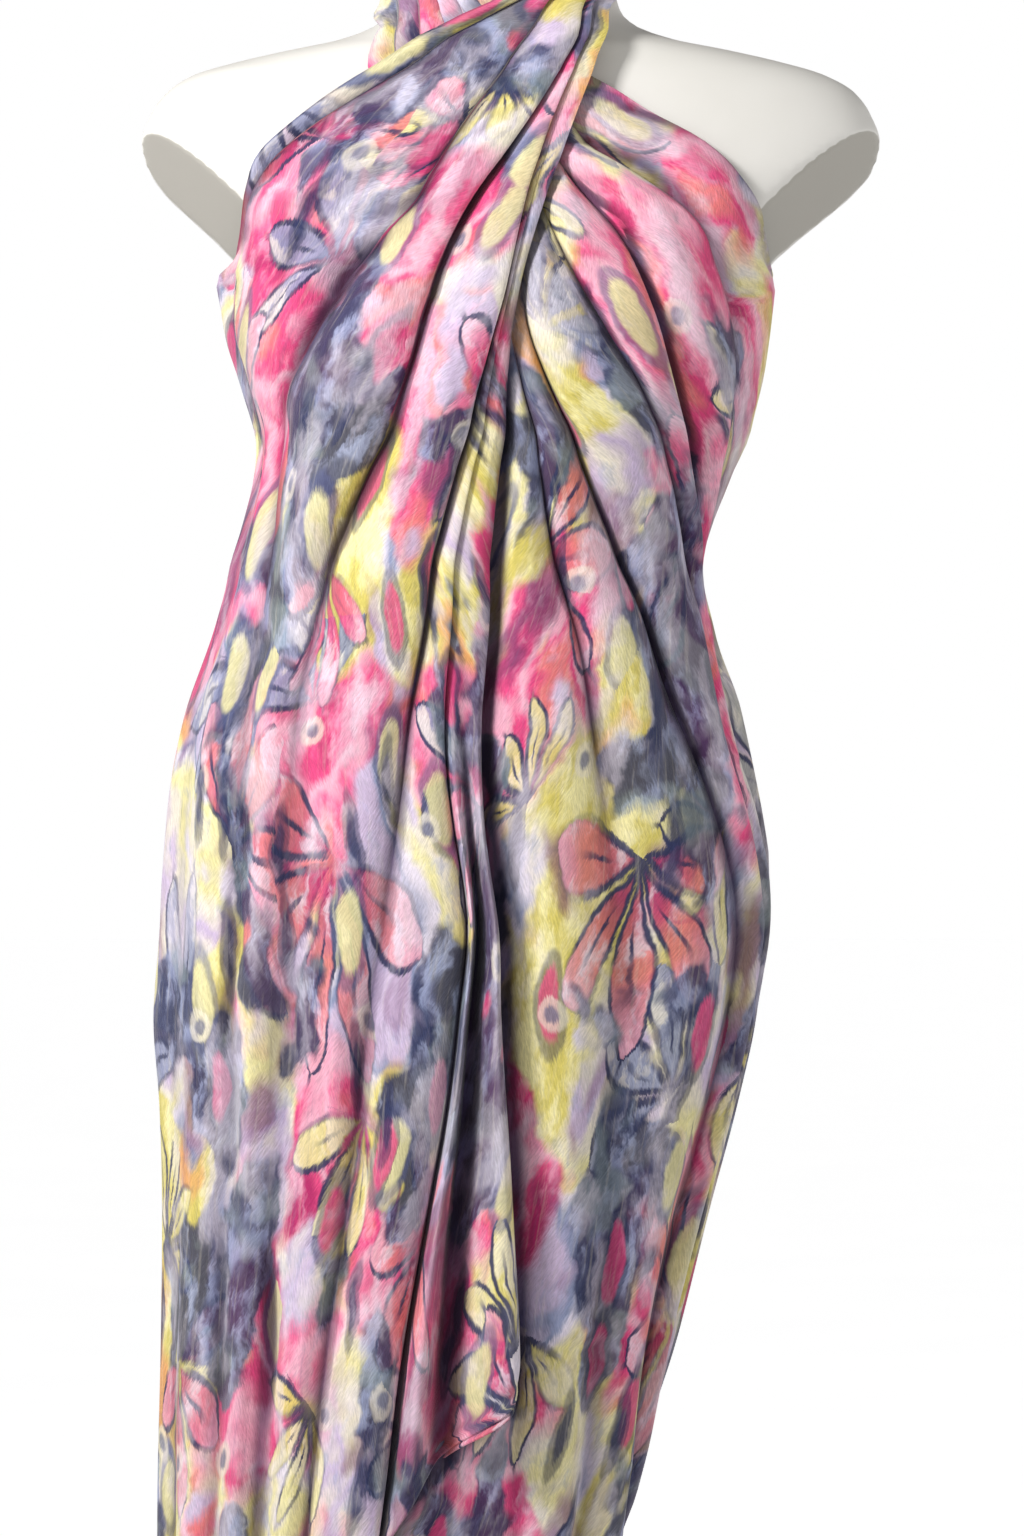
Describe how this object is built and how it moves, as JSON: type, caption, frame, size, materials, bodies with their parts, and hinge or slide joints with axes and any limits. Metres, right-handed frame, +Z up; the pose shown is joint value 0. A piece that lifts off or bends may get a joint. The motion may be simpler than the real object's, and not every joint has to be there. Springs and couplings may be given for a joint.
{
  "type": "batik sarong on dress form",
  "caption": "Rectangular batik cloth wound round a limbless dress form as a halter wrap, crossed on the chest and knotted at the nape, hanging to the ankles.",
  "frame": {"origin": "centre of the stand's underside, on the floor below the pole", "axes": "+Z up along the pole, -Y the way the form faces, +X to the right as seen from the front"},
  "size_m": [0.4305, 0.38, 1.5523],
  "materials": {
    "batik_cloth": "soft matte rayon with a hand-dyed batik print in pink, yellow, lilac and navy",
    "form_shell": "smooth warm white",
    "stand_metal": "fine satin"
  },
  "bodies": {
    "root": {"over_panel": "batik_cloth", "under_panel": "batik_cloth", "back_panel": "batik_cloth", "left_strap": "batik_cloth", "right_strap": "batik_cloth", "nape_knot": "batik_cloth", "left_tail": "batik_cloth", "right_tail": "batik_cloth", "form_torso": "form_shell", "neck_cap": "form_shell", "form_plate": "stand_metal", "pole": "stand_metal", "pole_collar": "stand_metal", "floor_base": "stand_metal"}
  },
  "joints": []
}
